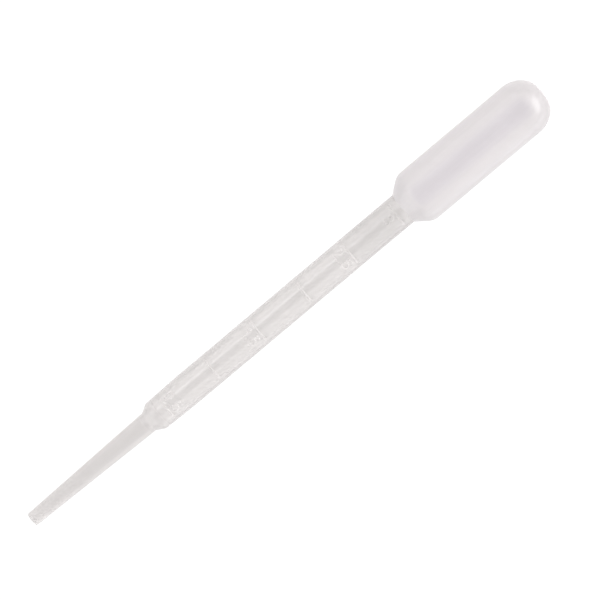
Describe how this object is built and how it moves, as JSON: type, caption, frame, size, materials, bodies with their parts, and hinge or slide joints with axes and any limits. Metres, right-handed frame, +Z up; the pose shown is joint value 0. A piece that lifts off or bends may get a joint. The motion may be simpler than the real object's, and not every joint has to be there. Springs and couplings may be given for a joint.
{
  "type": "medicine dropper",
  "caption": "One-piece squeeze-bulb transfer pipette with a graduated stem, a stepped shoulder and a long tapered tip for drawing up and dosing small volumes of liquid.",
  "frame": {"origin": "centre of the open end of the dispensing tip, which is the lowest point of the part", "axes": "+Z up along the pipette's axis from the tip to the bulb; the graduated front faces -Y; the mould seam lies at -X and +X"},
  "size_m": [0.0136, 0.0134, 0.1551],
  "materials": {
    "clear_polyethylene": "natural low-density polyethylene, translucent, satin, moulded",
    "milky_polyethylene": "natural low-density polyethylene, blown thin, milky, satin",
    "raised_marks": "same polyethylene, raised in the mould"
  },
  "bodies": {
    "root": {"dispensing_tip": "clear_polyethylene", "step_shoulder": "clear_polyethylene", "stem_tube": "clear_polyethylene", "graduation_lines": "raised_marks", "graduation_numerals": "raised_marks", "mould_seam": "raised_marks", "bulb_shoulder": "milky_polyethylene", "bulb_dome": "milky_polyethylene", "bulb_left_wall": "milky_polyethylene", "bulb_right_wall": "milky_polyethylene"},
    "front_wall": {"bulb_front_wall": "milky_polyethylene"},
    "back_wall": {"bulb_back_wall": "milky_polyethylene"}
  },
  "joints": [
    {"name": "bulb_squeeze", "type": "slide", "parent": "root", "child": "front_wall", "axis": [0, 1, 0], "range_m": [0, 0.0045]},
    {"name": "bulb_squeeze_back", "type": "slide", "parent": "root", "child": "back_wall", "axis": [0, -1, 0], "range_m": [0, 0.0045]}
  ],
  "couplings": [
    {"joint": "bulb_squeeze_back", "follows": "bulb_squeeze", "ratio": 1}
  ]
}
